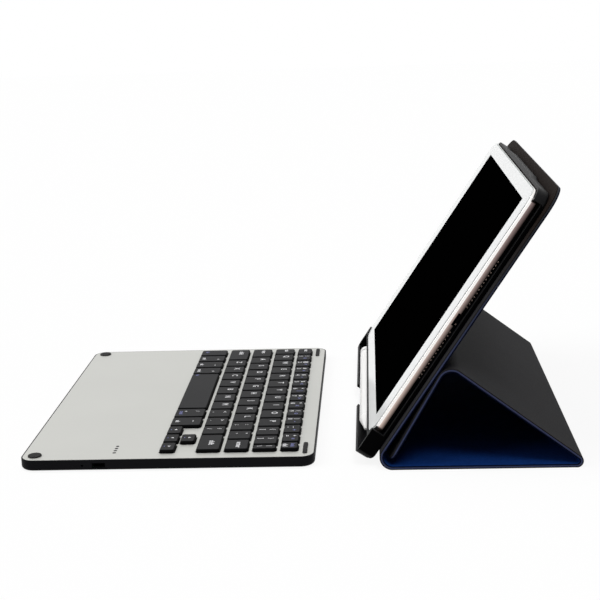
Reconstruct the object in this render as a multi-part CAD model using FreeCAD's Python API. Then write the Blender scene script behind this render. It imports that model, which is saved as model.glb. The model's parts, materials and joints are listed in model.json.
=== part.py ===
import FreeCAD, Part
import math
import os

# Tablet keyboard case: a flat wireless keyboard lies in front of a folded leather cover. The cover's
# back panel leans on its own folded flap and carries a moulded tray with the tablet and its pen.
# X is the user's right, Y runs from the palm rest to the rear, Z is up and the table is Z = 0.

# Keyboard case
keyboard_length = 256.2
keyboard_depth = 183.4
keyboard_corner = 9.0
keyboard_top = 7.5
plate_thickness = 0.8
plate_inset = 0.8
rim_drop = 0.1
base_wall = 2.0
base_floor = 1.2
base_lower_round = 2.2
foot_height = 0.4
foot_radius = 5.0
foot_inset = 14.0

# Keys: the rows run from the palm rest to the screen side
side_margin = 9.0
screen_margin = 10.7
row_strip = 3.0
key_gap = 1.9
key_clearance = 0.5
key_corner = 1.5
key_bevel = 0.5
key_height = 2.2
key_skirt = 1.1
key_roof = 1.3
key_wall = 1.1
key_travel = 1.4
thumb_depth = 19.9
letter_depth = 14.6
number_depth = 10.6
arrow_gap = 1.6
modifier_width = 16.7
right_modifier_width = 18.6
arrow_width = 16.3

# Each row: depth, left end key, number of equal keys, right end key
key_rows = {
    "lower": (letter_depth, 30.2, 10, 30.2),
    "home": (letter_depth, 23.2, 11, 19.8),
    "upper": (letter_depth, 16.2, 12, 9.2),
    "number": (number_depth, 17.4, 12, 13.4),
}

# Under the keys
sheet_thickness = 0.4
membrane_thickness = 0.25
press_clearance = 0.15
dome_foot_radius = 2.8
dome_head_radius = 1.5
rib_thickness = 2.0
rib_count = 5

# Under the palm rest
board_length = 62.0
board_depth = 44.0
board_thickness = 0.8
board_front = 28.0
board_wall_gap = 0.4
chip_sizes = ((12.0, 16.0, 1.4), (8.0, 8.0, 1.0), (5.0, 6.0, 1.2))
chip_pitch = 14.0
chip_front = 18.0
battery_length = 84.0
battery_depth = 46.0
battery_headroom = 1.1
battery_front = 20.0
battery_corner = 2.0
battery_board_gap = 10.0
socket_width = 7.4
socket_length = 5.6
socket_height = 2.6
socket_wall = 0.3
socket_front = 50.0
socket_clearance = 0.4
socket_recess = 0.8
pin_hole_front = 39.6
pin_hole_radius = 0.7

# Small pieces on the plate
light_count = 4
light_pitch = 4.1
light_radius = 0.6
light_clearance = 0.2
light_right = 12.3
light_front = 57.8
pad_height = 0.9
palm_pad_radius = 4.3
palm_pad_inset = 8.5
top_pad_length = 19.0
top_pad_width = 2.8
top_pad_round = 1.3
top_pad_side = 15.5
top_pad_screen = 6.2

# Tablet and pen that the tray is moulded for
tablet_width = 250.6
tablet_height = 179.0
tablet_thickness = 7.5
tablet_corner = 11.0
tablet_back_round = 3.0
glass_thickness = 0.6
glass_rim = 0.7
end_border = 18.3
long_border = 9.25
port_width = 8.6
port_height = 2.6
port_depth = 6.0
pen_length = 188.0
pen_radius = 4.45
pen_tip_length = 19.0
pen_tip_radius = 1.2
pen_band_length = 1.8
pen_cap_length = 8.5
pen_cap_round = 2.7
pen_left_gap = 28.0

# Tray
tray_back = 2.8
tray_wall = 1.8
tray_back_round = 1.4
swell_width = 112.0
swell_slope = 9.0
swell_rise = 1.1
tablet_fit = 0.3
seat_gap = 0.05
grip_rise = -2.4
grip_reach = 5.5
holder_rise = 0.8
holder_wall = 2.2
holder_end = 2.6
holder_round = 6.0
holder_corner = 6.0
partition = 1.4
partition_drop = 1.0
pen_fit = 0.3
notch_width = 47.0
notch_round = 3.0
notch_right = 31.5
notch_floor = 1.6
magnet_length = 20.0
magnet_width = 8.0
magnet_thickness = 1.2
magnet_side = 70.0
magnet_rise = 55.0
keeper_thickness = 0.5

# Cover: leather, board and lining in every panel
leather_thickness = 0.7
board_core = 0.9
lining_thickness = 0.8
cover_overhang = 6.6
cover_corner = 15.0
flap_corner = 6.0
spine_inner = 5.6
rear_inner = 1.6
apex_inner = 6.8
lean_angle = 56.0
rear_angle = 37.0
flap_angle = 60.0
prop_gap = 0.4
base_span = 110.6
flap_length = 60.0
tray_from_spine = 1.25
panel_above_tray = 6.5
stand_gap = 39.7

# Worked out from the sizes above
panel_thickness = leather_thickness + board_core + lining_thickness
spine_outer = spine_inner + panel_thickness
rear_outer = rear_inner + panel_thickness
apex_outer = apex_inner + panel_thickness
total_depth = keyboard_depth + stand_gap + spine_outer + base_span + rear_outer
front = -total_depth / 2
screen_edge = front + keyboard_depth
spine_y = screen_edge + stand_gap + spine_outer
rear_y = spine_y + base_span
plate_under = keyboard_top - plate_thickness
floor_top = foot_height + base_floor
key_top = keyboard_top + key_height
key_bottom = keyboard_top - key_skirt
key_ceiling = key_top - key_roof
membrane_top = key_bottom - key_travel - press_clearance
sheet_top = membrane_top - membrane_thickness
sheet_bottom = sheet_top - sheet_thickness
field_width = keyboard_length - 2 * side_margin
field_left = -field_width / 2
row_depths = [thumb_depth] + [row[0] for row in key_rows.values()]
field_depth = sum(row_depths) + row_strip * (len(row_depths) - 1)
field_front = screen_edge - screen_margin - field_depth
inner_half_length = keyboard_length / 2 - base_wall
tray_width = tablet_width + 2 * (tablet_fit + tray_wall)
cover_width = tray_width + 2 * cover_overhang
tablet_low = tray_from_spine
tablet_high = tablet_low + tablet_height
tray_under = spine_outer + seat_gap
tray_floor = tray_under + tray_back
tablet_under = tray_floor + seat_gap
tablet_top = tablet_under + tablet_thickness
tray_top = tablet_high + tablet_fit + tray_wall
channel_high = tablet_low - tablet_fit - partition
pen_along = channel_high - pen_radius - pen_fit
channel_low = pen_along - pen_radius - pen_fit
tray_low = channel_low - holder_wall
pen_up = tray_floor + pen_fit + pen_radius
panel_high = tray_top + panel_above_tray
screen_width = tablet_width - 2 * end_border
screen_height = tablet_height - 2 * long_border


def box(x0, x1, y0, y1, z0, z1):
    return Part.makeBox(x1 - x0, y1 - y0, z1 - z0, FreeCAD.Vector(x0, y0, z0))


def rod(x, y, z0, z1, radius):
    return Part.makeCylinder(radius, z1 - z0, FreeCAD.Vector(x, y, z0))


def rounded_outline(x0, x1, y0, y1, z, radii):
    """Closed outline with its own radius at each corner, from the lower left anticlockwise."""
    corners = ((x0, y0, 180), (x1, y0, 270), (x1, y1, 0), (x0, y1, 90))
    inward = ((1, 1), (-1, 1), (-1, -1), (1, -1))
    ends = []
    edges = []
    for (x, y, start), (sx, sy), radius in zip(corners, inward, radii):
        if radius <= 0:
            ends.append((FreeCAD.Vector(x, y, z), FreeCAD.Vector(x, y, z)))
            continue
        centre = FreeCAD.Vector(x + sx * radius, y + sy * radius, z)
        points = []
        for step in (0, 45, 90):
            angle = math.radians(start + step)
            points.append(centre + FreeCAD.Vector(math.cos(angle), math.sin(angle), 0) * radius)
        edges.append(Part.Arc(*points).toShape())
        ends.append((points[0], points[2]))
    for (_, leave), (reach, _) in zip(ends, ends[1:] + ends[:1]):
        edges.append(Part.makeLine(leave, reach))
    return Part.Wire(Part.__sortEdges__(edges))


def rounded_prism(x0, x1, y0, y1, z0, z1, *radii):
    """Upright prism; one radius serves all four corners."""
    if len(radii) == 1:
        radii = radii * 4
    face = Part.Face(rounded_outline(x0, x1, y0, y1, z0, radii))
    return face.extrude(FreeCAD.Vector(0, 0, z1 - z0))


def cut_outline(x0, x1, y0, y1, z, cut):
    """Closed outline with its four corners cut off straight."""
    points = [(x0 + cut, y0), (x1 - cut, y0), (x1, y0 + cut), (x1, y1 - cut),
              (x1 - cut, y1), (x0 + cut, y1), (x0, y1 - cut), (x0, y0 + cut)]
    return Part.makePolygon([FreeCAD.Vector(x, y, z) for x, y in points + points[:1]])


def cut_prism(x0, x1, y0, y1, z0, z1, cut):
    face = Part.Face(cut_outline(x0, x1, y0, y1, z0, cut))
    return face.extrude(FreeCAD.Vector(0, 0, z1 - z0))


def edges_at(shape, z):
    """Edges that lie whole in the level z."""
    found = []
    for edge in shape.Edges:
        if abs(edge.BoundBox.ZMin - z) + abs(edge.BoundBox.ZMax - z) < 1e-6:
            found.append(edge)
    return found


def turned(shape, angle, y, z):
    """Shape turned about the X axis, then moved to a bend's centre."""
    placed = shape.copy()
    placed.rotate(FreeCAD.Vector(0, 0, 0), FreeCAD.Vector(1, 0, 0), angle)
    placed.translate(FreeCAD.Vector(0, y, z))
    return placed


def leaned(shape):
    """Shape placed on the leaning back panel: its Y runs up the panel, its Z out of the leather."""
    return turned(shape, lean_angle, spine_y, spine_outer)


def save(name, *shapes):
    whole = shapes[0] if len(shapes) == 1 else Part.makeCompound(list(shapes))
    whole.exportStep(os.path.join("parts", name + ".step"))


def lay_out_keys():
    """Name of each key group with the outlines (x0, x1, y0, y1) of its caps."""
    groups = {}
    half_gap = key_gap / 2

    def add(group, x, width, y0, y1):
        groups.setdefault(group, []).append((x + half_gap, x + width - half_gap, y0, y1))

    y0 = field_front
    y1 = y0 + thumb_depth
    x = field_left
    for _ in range(4):
        add("keys_modifier_left", x, modifier_width, y0, y1)
        x += modifier_width
    space_width = field_width - 4 * modifier_width - 2 * right_modifier_width - 3 * arrow_width
    add("key_space", x, space_width, y0, y1)
    x += space_width
    for _ in range(2):
        add("keys_modifier_right", x, right_modifier_width, y0, y1)
        x += right_modifier_width
    half_depth = (thumb_depth - arrow_gap) / 2
    add("key_arrow_left", x, arrow_width, y0, y0 + half_depth)
    add("key_arrow_down", x + arrow_width, arrow_width, y0, y0 + half_depth)
    add("key_arrow_up", x + arrow_width, arrow_width, y1 - half_depth, y1)
    add("key_arrow_right", x + 2 * arrow_width, arrow_width, y0, y0 + half_depth)

    end_keys = {
        "lower": ("key_shift_left", "key_shift_right"),
        "home": ("key_caps", "key_enter"),
        "upper": ("key_tab", "keys_upper"),
        "number": ("key_escape", "key_lock"),
    }
    for row, (depth, left, count, right) in key_rows.items():
        y0 = y1 + row_strip
        y1 = y0 + depth
        pitch = (field_width - left - right) / count
        add(end_keys[row][0], field_left, left, y0, y1)
        for place in range(count):
            add("keys_" + row, field_left + left + place * pitch, pitch, y0, y1)
        add(end_keys[row][1], field_left + field_width - right, right, y0, y1)
    return groups


def keycap(x0, x1, y0, y1):
    """Bevelled cap with a hollow underside."""
    body = cut_prism(x0, x1, y0, y1, key_bottom, key_top, key_corner)
    body = body.makeChamfer(key_bevel, edges_at(body, key_top))
    hollow = box(x0 + key_wall, x1 - key_wall, y0 + key_wall, y1 - key_wall, key_bottom, key_ceiling)
    return body.cut(hollow)


def keyboard_case(groups):
    """Moulded base with ribs under the keys, and the sheet-metal plate let into its rim."""
    half_length = keyboard_length / 2
    base = rounded_prism(-half_length, half_length, front, screen_edge, foot_height, keyboard_top - rim_drop,
                         keyboard_corner)
    base = base.makeFillet(base_lower_round, edges_at(base, foot_height))
    plate = rounded_prism(-half_length + plate_inset, half_length - plate_inset, front + plate_inset,
                          screen_edge - plate_inset, plate_under, keyboard_top, keyboard_corner - plate_inset)
    base = base.cut(plate)
    inner_corner = keyboard_corner - base_wall
    hollow = rounded_prism(-inner_half_length, inner_half_length, front + base_wall, screen_edge - base_wall,
                           floor_top, plate_under, inner_corner)
    base = base.cut(hollow)
    rib_span = field_depth - rib_thickness
    for place in range(rib_count):
        rib_y = field_front + place * rib_span / (rib_count - 1)
        base = base.fuse(box(-inner_half_length, inner_half_length, rib_y, rib_y + rib_thickness,
                             floor_top, sheet_bottom))
    socket_y = front + socket_front
    socket_z = floor_top + board_thickness + socket_height / 2
    slot_width = socket_width / 2 + socket_clearance
    slot_height = socket_height / 2 + socket_clearance
    slot = box(inner_half_length - socket_clearance, half_length + base_wall, socket_y - slot_width,
               socket_y + slot_width, socket_z - slot_height, socket_z + slot_height)
    pin_start = FreeCAD.Vector(inner_half_length - base_wall, front + pin_hole_front, socket_z)
    pin_hole = Part.makeCylinder(pin_hole_radius, 3 * base_wall, pin_start, FreeCAD.Vector(1, 0, 0))
    save("keyboard_base", base.cut(slot.fuse(pin_hole)).removeSplitter())

    cuts = []
    for outlines in groups.values():
        for x0, x1, y0, y1 in outlines:
            cuts.append(cut_prism(x0 - key_clearance, x1 + key_clearance, y0 - key_clearance,
                                  y1 + key_clearance, plate_under, keyboard_top, key_corner))
    for x, y in light_places():
        cuts.append(rod(x, y, plate_under, keyboard_top, light_radius + light_clearance))
    save("top_plate", plate.cut(cuts))


def light_places():
    """Centres of the status lights, in a row along X at the right of the palm rest."""
    last_x = keyboard_length / 2 - light_right
    return [(last_x - place * light_pitch, front + light_front) for place in range(light_count)]


def dome(x, y):
    """Six-sided rubber dome that narrows from the membrane up to the cap."""
    rings = []
    for radius, z in ((dome_foot_radius, membrane_top), (dome_head_radius, key_ceiling)):
        turns = [math.radians(60 * place) for place in range(7)]
        rings.append([FreeCAD.Vector(x + radius * math.cos(turn), y + radius * math.sin(turn), z)
                      for turn in turns])
    faces = [Part.Face(Part.makePolygon(ring)) for ring in rings]
    foot, head = rings
    for place in range(6):
        loop = [foot[place], foot[place + 1], head[place + 1], head[place], foot[place]]
        faces.append(Part.Face(Part.makePolygon(loop)))
    return Part.makeSolid(Part.makeShell(faces))


def key_works(groups):
    """Support sheet on the ribs, contact membrane on the sheet, and a rubber dome under every cap."""
    left = -inner_half_length + board_wall_gap
    high = field_front + field_depth
    save("support_sheet", box(left, -left, field_front, high, sheet_bottom, sheet_top))
    save("membrane_sheet", box(left, -left, field_front, high, sheet_top, membrane_top))
    domes = []
    for outlines in groups.values():
        for x0, x1, y0, y1 in outlines:
            domes.append(dome((x0 + x1) / 2, (y0 + y1) / 2))
    save("key_domes", *domes)


def palm_rest_works():
    """Main board with chips and charging socket, and the battery, all on the base's floor."""
    right = inner_half_length - board_wall_gap
    low = front + board_front
    board_top = floor_top + board_thickness
    save("main_board", box(right - board_length, right, low, low + board_depth, floor_top, board_top))
    chips = []
    for place, (length, depth, height) in enumerate(chip_sizes):
        x = right - board_length + chip_pitch * (place + 0.5)
        y = front + board_front + chip_front
        chips.append(box(x - length / 2, x + length / 2, y - depth / 2, y + depth / 2,
                         board_top, board_top + height))
    save("board_chips", *chips)
    battery_right = right - board_length - battery_board_gap
    battery_low = front + battery_front
    save("battery", rounded_prism(battery_right - battery_length, battery_right, battery_low,
                                  battery_low + battery_depth, floor_top, plate_under - battery_headroom,
                                  battery_corner))
    mouth = keyboard_length / 2 - socket_recess
    y = front + socket_front
    shell = box(mouth - socket_length, mouth, y - socket_width / 2, y + socket_width / 2,
                board_top, board_top + socket_height)
    half_mouth = socket_width / 2 - socket_wall
    hollow = box(mouth - socket_length + 2 * socket_wall, mouth, y - half_mouth, y + half_mouth,
                 board_top + socket_wall, board_top + socket_height - socket_wall)
    save("charge_socket", shell.cut(hollow))
    save("status_lights", *[rod(x, y, board_top, keyboard_top, light_radius) for x, y in light_places()])


def pads_and_feet():
    """Rubber bumpers on the plate and rubber feet under the base."""
    pad_top = keyboard_top + pad_height
    half_length = keyboard_length / 2
    palm = []
    top = []
    feet = []
    for side in (-1, 1):
        palm.append(rod(side * (half_length - palm_pad_inset), front + palm_pad_inset, keyboard_top, pad_top,
                        palm_pad_radius))
        pad_x = side * (half_length - top_pad_side)
        pad_y = screen_edge - top_pad_screen
        top.append(rounded_prism(pad_x - top_pad_length / 2, pad_x + top_pad_length / 2,
                                 pad_y - top_pad_width / 2, pad_y + top_pad_width / 2,
                                 keyboard_top, pad_top, top_pad_round))
        for y in (front + foot_inset, screen_edge - foot_inset):
            feet.append(rod(side * (half_length - foot_inset), y, 0, foot_height, foot_radius))
    save("palm_pads", *palm)
    save("top_pads", *top)
    save("rubber_feet", *feet)


def tray():
    """Moulded shell: back wall, top wall, corner grips and the pen channel along the lower edge."""
    half_width = tray_width / 2
    half_pocket = tablet_width / 2 + tablet_fit
    grip_top = tablet_top + grip_rise
    holder_top = tablet_top + holder_rise
    outer_corner = tablet_corner + tray_wall
    shell = rounded_prism(-half_width, half_width, tray_low, tray_top, tray_under, holder_top,
                          holder_corner, holder_corner, outer_corner, outer_corner)
    shell = shell.makeFillet(tray_back_round, edges_at(shell, tray_under))
    shell = shell.fuse(top_swell(grip_top))
    pocket_low = tablet_low - tablet_fit
    pocket_high = tablet_high + tablet_fit
    pocket = rounded_prism(-half_pocket, half_pocket, pocket_low, pocket_high, tray_floor, holder_top,
                           tablet_corner + tablet_fit)
    above_grips = box(-half_width, half_width, tablet_low + grip_reach, tray_top, grip_top, holder_top)
    grip_low = tablet_high - tablet_corner + grip_reach
    cuts = [pocket, above_grips]
    for side in (-1, 1):
        x0, x1 = sorted((side * (half_pocket - tray_wall), side * half_width))
        cuts.append(box(x0, x1, tablet_low + grip_reach, grip_low, tray_floor, grip_top))
    half_channel = half_width - holder_end
    along_x = FreeCAD.Vector(1, 0, 0)
    channel_start = FreeCAD.Vector(-half_channel, pen_along, pen_up)
    cuts.append(Part.makeCylinder(pen_radius + pen_fit, 2 * half_channel, channel_start, along_x))
    cuts.append(box(-half_channel, half_channel, channel_low, channel_high, pen_up, holder_top))
    cuts.append(box(-half_channel, half_channel, channel_high, pocket_low,
                    tablet_top - partition_drop, holder_top))
    notch_left = notch_right - notch_width
    notch = rounded_prism(notch_left, notch_right, tray_floor + notch_floor, holder_top + notch_width, 0,
                          holder_wall + pen_radius, notch_round)
    notch.rotate(FreeCAD.Vector(0, 0, 0), along_x, 90)
    notch.translate(FreeCAD.Vector(0, tray_low + holder_wall + pen_radius, 0))
    cuts.append(notch)
    round_centre = FreeCAD.Vector(-half_width, tray_low + holder_round, tray_under + holder_round)
    corner = box(-half_width, half_width, tray_low, tray_low + holder_round,
                 tray_under, tray_under + holder_round)
    cuts.append(corner.cut(Part.makeCylinder(holder_round, tray_width, round_centre, along_x)))
    magnets = magnet_bars(tray_under, tray_under + magnet_thickness)
    save("tray_shell", leaned(shell.cut(cuts + magnets).removeSplitter()))
    save("tray_magnets", *[leaned(magnet) for magnet in magnets])


def top_swell(z1):
    """Low swelling with sloped ends in the middle of the top wall, where fingers pull the tray off."""
    foot = tray_top - tray_wall
    half = swell_width / 2
    outline = [(-half - swell_slope, foot), (half + swell_slope, foot), (half + swell_slope, tray_top),
               (half, tray_top + swell_rise), (-half, tray_top + swell_rise), (-half - swell_slope, tray_top)]
    points = [FreeCAD.Vector(x, y, tray_under + tray_back_round) for x, y in outline + outline[:1]]
    return Part.Face(Part.makePolygon(points)).extrude(FreeCAD.Vector(0, 0, z1 - points[0].z))


def magnet_bars(z0, z1):
    """Four bars on the corners of a rectangle about the tablet's middle, between two levels."""
    middle = (tablet_low + tablet_high) / 2
    bars = []
    for x in (-magnet_side, magnet_side):
        for y in (middle - magnet_rise, middle + magnet_rise):
            bars.append(box(x - magnet_length / 2, x + magnet_length / 2,
                            y - magnet_width / 2, y + magnet_width / 2, z0, z1))
    return bars


def tablet():
    """Metal housing with a port in its right edge, white glass border and dark screen."""
    half_width = tablet_width / 2
    middle = (tablet_low + tablet_high) / 2
    glass_under = tablet_top - glass_thickness
    housing = rounded_prism(-half_width, half_width, tablet_low, tablet_high, tablet_under, glass_under,
                            tablet_corner)
    housing = housing.makeFillet(tablet_back_round, edges_at(housing, tablet_under))
    port_z = (tablet_under + glass_under) / 2
    port = box(half_width - port_depth, half_width, middle - port_width / 2, middle + port_width / 2,
               port_z - port_height / 2, port_z + port_height / 2)
    save("tablet_housing", leaned(housing.cut(port)))
    border = rounded_prism(-half_width + glass_rim, half_width - glass_rim, tablet_low + glass_rim,
                           tablet_high - glass_rim, glass_under, tablet_top, tablet_corner - glass_rim)
    screen = box(-screen_width / 2, screen_width / 2, middle - screen_height / 2, middle + screen_height / 2,
                 glass_under, tablet_top)
    save("tablet_border", leaned(border.cut(screen)))
    save("tablet_screen", leaned(screen))


def pen():
    """Round pen lying in the channel: domed cap, band, barrel and cone tip towards the right."""
    along_x = FreeCAD.Vector(1, 0, 0)
    left = -tray_width / 2 + holder_end + pen_left_gap
    cap_right = left + pen_cap_length
    barrel_left = cap_right + pen_band_length
    tip_left = left + pen_length - pen_tip_length

    def axis_point(x):
        return FreeCAD.Vector(x, pen_along, pen_up)

    cap = Part.makeCylinder(pen_radius, pen_cap_length, axis_point(left), along_x)
    end_edges = [edge for edge in cap.Edges if edge.BoundBox.XMax - left < 1e-6]
    cap = cap.makeFillet(pen_cap_round, end_edges)
    band = Part.makeCylinder(pen_radius, pen_band_length, axis_point(cap_right), along_x)
    barrel = Part.makeCylinder(pen_radius, tip_left - barrel_left, axis_point(barrel_left), along_x)
    tip = Part.makeCone(pen_radius, pen_tip_radius, pen_tip_length, axis_point(tip_left), along_x)
    save("pen_cap", leaned(cap))
    save("pen_band", leaned(band))
    save("pen_barrel", leaned(barrel))
    save("pen_tip", leaned(tip))


def panel_layers(name, length_low, length_high, inner, radii, place, board_cuts=()):
    """Lining, board and leather of one panel, counted outward from the bend's inner radius."""
    half_width = cover_width / 2
    level = inner
    layers = (("lining", lining_thickness), ("board", board_core), ("leather", leather_thickness))
    for layer, thickness in layers:
        sheet = rounded_prism(-half_width, half_width, length_low, length_high, level, level + thickness,
                              *radii)
        if layer == "board" and board_cuts:
            sheet = sheet.cut(list(board_cuts))
        save(name + "_" + layer, place(sheet))
        level += thickness


def bend(name, y, z, inner, start, end):
    """Bent strip between two panels: a ring sector about the bend's centre."""
    half_width = cover_width / 2
    outer = inner + panel_thickness

    def at(radius, angle):
        turn = math.radians(angle)
        return FreeCAD.Vector(-half_width, y + radius * math.cos(turn), z + radius * math.sin(turn))

    middle = (start + end) / 2
    edges = [Part.Arc(at(outer, start), at(outer, middle), at(outer, end)).toShape(),
             Part.makeLine(at(outer, end), at(inner, end)),
             Part.Arc(at(inner, end), at(inner, middle), at(inner, start)).toShape(),
             Part.makeLine(at(inner, start), at(outer, start))]
    face = Part.Face(Part.Wire(edges))
    save(name, face.extrude(FreeCAD.Vector(cover_width, 0, 0)))


def apex_place():
    """Length of the rear panel and centre of the arched bend, just clear of the leaning panel."""
    lean = math.radians(lean_angle)
    rise = math.radians(rear_angle)
    behind = (math.sin(lean), -math.cos(lean))
    climb = (-math.cos(rise), math.sin(rise))
    outward = (math.sin(rise), math.cos(rise))
    drop = apex_inner - rear_inner
    start = (base_span - drop * outward[0], rear_outer - spine_outer - drop * outward[1])
    wanted = apex_outer + prop_gap - spine_inner
    reach = start[0] * behind[0] + start[1] * behind[1]
    gain = climb[0] * behind[0] + climb[1] * behind[1]
    length = (wanted - reach) / gain
    return length, spine_y + start[0] + length * climb[0], spine_outer + start[1] + length * climb[1]


def cover():
    """Four stiff panels and three bends, folded into a prop behind the leaning back panel."""
    rear_length, apex_y, apex_z = apex_place()
    board_high = spine_inner + lining_thickness + board_core
    keepers = magnet_bars(board_high - keeper_thickness, board_high)
    panel_layers("back", 0, panel_high, spine_inner, (0, 0, cover_corner, cover_corner), leaned, keepers)
    save("back_keepers", *[leaned(keeper) for keeper in keepers])

    def flat(shape):
        return turned(shape, 180, rear_y, panel_thickness)

    def sloped(shape):
        return turned(shape, -rear_angle, rear_y, rear_outer)

    def tucked(shape):
        return turned(shape, flap_angle, apex_y, apex_z)

    panel_layers("base", 0, base_span, 0, (0,), flat)
    panel_layers("rear", -rear_length, 0, rear_inner, (0,), sloped)
    panel_layers("flap", -flap_length, 0, apex_inner, (flap_corner, flap_corner, 0, 0), tucked)
    bend("spine_bend", spine_y, spine_outer, spine_inner, 90 + lean_angle, 270)
    bend("rear_bend", rear_y, rear_outer, rear_inner, -90, 90 - rear_angle)
    bend("apex_bend", apex_y, apex_z, apex_inner, 90 - rear_angle, 90 + flap_angle)


os.makedirs("parts", exist_ok=True)
key_groups = lay_out_keys()
keyboard_case(key_groups)
for key_group, cap_outlines in key_groups.items():
    save(key_group, *[keycap(*outline) for outline in cap_outlines])
key_works(key_groups)
palm_rest_works()
pads_and_feet()
tray()
tablet()
pen()
cover()
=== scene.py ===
import bmesh
import bpy
import json
import math
from mathutils import Matrix, Vector


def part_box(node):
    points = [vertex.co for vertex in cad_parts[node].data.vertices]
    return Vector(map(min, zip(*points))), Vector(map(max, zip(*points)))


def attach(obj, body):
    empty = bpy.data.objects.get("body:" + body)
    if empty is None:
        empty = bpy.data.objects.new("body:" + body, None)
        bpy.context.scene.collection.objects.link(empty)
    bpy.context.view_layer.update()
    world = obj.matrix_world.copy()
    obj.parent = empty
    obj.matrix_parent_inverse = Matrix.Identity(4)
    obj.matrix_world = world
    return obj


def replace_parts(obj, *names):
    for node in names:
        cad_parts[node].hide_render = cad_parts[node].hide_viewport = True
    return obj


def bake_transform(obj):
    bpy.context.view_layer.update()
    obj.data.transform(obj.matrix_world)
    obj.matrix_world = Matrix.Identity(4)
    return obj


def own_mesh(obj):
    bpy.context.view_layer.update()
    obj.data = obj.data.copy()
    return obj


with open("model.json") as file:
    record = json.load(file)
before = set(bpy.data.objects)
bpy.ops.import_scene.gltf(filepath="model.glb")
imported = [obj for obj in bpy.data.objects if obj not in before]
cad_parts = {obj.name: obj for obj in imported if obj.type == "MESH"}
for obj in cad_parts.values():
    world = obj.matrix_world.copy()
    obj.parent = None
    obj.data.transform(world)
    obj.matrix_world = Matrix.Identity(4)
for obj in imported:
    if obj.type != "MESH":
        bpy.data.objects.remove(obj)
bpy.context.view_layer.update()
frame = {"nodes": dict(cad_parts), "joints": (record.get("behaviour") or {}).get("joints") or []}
nodes = frame["nodes"]


# Keyboard base: a shallow tray of injection-moulded black plastic with a rounded lower edge and a
# fine spark-eroded texture. The metal plate is bonded onto its rim and the feet under its floor.

class Socket:
    """A socket of a material's node tree. Sums and products of sockets become Math nodes."""

    def __init__(self, tree, link):
        self.tree = tree
        self.link = link

    def node(self, kind, settings=None, inputs=None, output=0):
        """Any other node: its settings are made first, then its sockets get values or links."""
        made = self.tree.nodes.new("ShaderNode" + kind)
        for name, value in (settings or {}).items():
            setattr(made, name, value)
        for name, value in (inputs or {}).items():
            socket = next(s for s in made.inputs if name in (s.identifier, s.name))
            if isinstance(value, Socket):
                self.tree.links.new(value.link, socket)
            else:
                socket.default_value = value
        if isinstance(output, str):
            return Socket(self.tree, next(s for s in made.outputs if output in (s.identifier, s.name)))
        return Socket(self.tree, made.outputs[output])

    def maths(self, operation, first, second):
        return self.node("Math", {"operation": operation}, {"Value": first, "Value_001": second})

    def __add__(self, other):
        return self.maths("ADD", self, other)

    def __radd__(self, other):
        return self.maths("ADD", other, self)

    def __sub__(self, other):
        return self.maths("SUBTRACT", self, other)

    def __rsub__(self, other):
        return self.maths("SUBTRACT", other, self)

    def __mul__(self, other):
        return self.maths("MULTIPLY", self, other)

    def __rmul__(self, other):
        return self.maths("MULTIPLY", other, self)

    def mix(self, first, second):
        """Colour between two others, by this socket."""
        settings = {"data_type": "RGBA"}
        inputs = {"Factor_Float": self, "A_Color": first, "B_Color": second}
        return self.node("Mix", settings, inputs, "Result_Color")

    def noise(self, scale, detail=2.0):
        """Noise over this coordinate socket, with so many grains to the metre."""
        return self.node("TexNoise", None, {"Vector": self, "Scale": scale, "Detail": detail}, "Fac")

    def bump(self, height, distance):
        """Bump of a height socket whose full step is so deep in metres."""
        return self.node("Bump", None, {"Height": height, "Distance": distance})

    def rise(self):
        """The upward part of this coordinate socket."""
        return self.node("SeparateXYZ", None, {"Vector": self}, "Z")

    def between(self, start, end):
        """0 to 1 as this socket goes from start to end, and held beyond them."""
        share = (self - start) * (1 / (end - start))
        return self.node("Clamp", None, {"Value": share})


def finish(name):
    """A new material: its surface shader node and its object coordinates."""
    material = bpy.data.materials.new(name)
    material.use_nodes = True
    tree = material.node_tree
    surface = tree.nodes["Principled BSDF"]
    return material, surface, Socket(tree, surface.outputs[0]).node("TexCoord", output="Object")


def set_surface(surface, **values):
    """Numbers, colours or links for the surface shader's sockets."""
    for name, value in values.items():
        socket = surface.inputs[name.replace("_", " ")]
        if isinstance(value, Socket):
            value.tree.links.new(value.link, socket)
        else:
            socket.default_value = value


def wear(piece, *materials):
    """Gives a piece its materials in place of any it has."""
    piece.data.materials.clear()
    for material in materials:
        piece.data.materials.append(material)


def only(*pieces):
    """Leaves just these pieces selected, with the first one active."""
    bpy.ops.object.select_all(action="DESELECT")
    for piece in pieces:
        piece.select_set(True)
    bpy.context.view_layer.objects.active = pieces[0]


def smooth(piece, angle=35.0):
    """Smooth shading between edges sharper than an angle, with the large flat faces kept flat."""
    only(piece)
    bpy.ops.object.shade_smooth_by_angle(angle=math.radians(angle))
    modifier = piece.modifiers.new("normals", "WEIGHTED_NORMAL")
    modifier.keep_sharp = True
    bpy.ops.object.modifier_apply(modifier="normals")


def merged_copy(node, name):
    """A new piece with the merged mesh of a node, ready to be worked on."""
    piece = bpy.data.objects.new(name, nodes[node].data.copy())
    bpy.context.scene.collection.objects.link(piece)
    only(piece)
    bpy.ops.object.mode_set(mode="EDIT")
    bpy.ops.mesh.select_all(action="SELECT")
    bpy.ops.mesh.remove_doubles(threshold=0.000002)
    bpy.ops.mesh.customdata_custom_splitnormals_clear()
    bpy.ops.mesh.dissolve_limited(angle_limit=math.radians(0.5))
    bpy.ops.object.mode_set(mode="OBJECT")
    return piece


def mark(piece, kind, test):
    """In edit mode, selects the corners, edges or faces that pass a test."""
    mesh = bmesh.from_edit_mesh(piece.data)
    bpy.context.tool_settings.mesh_select_mode = (kind == "VERT", kind == "EDGE", kind == "FACE")
    bpy.ops.mesh.select_all(action="DESELECT")
    for part in {"VERT": mesh.verts, "EDGE": mesh.edges, "FACE": mesh.faces}[kind]:
        part.select_set(test(part))
    bmesh.update_edit_mesh(piece.data)


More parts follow.
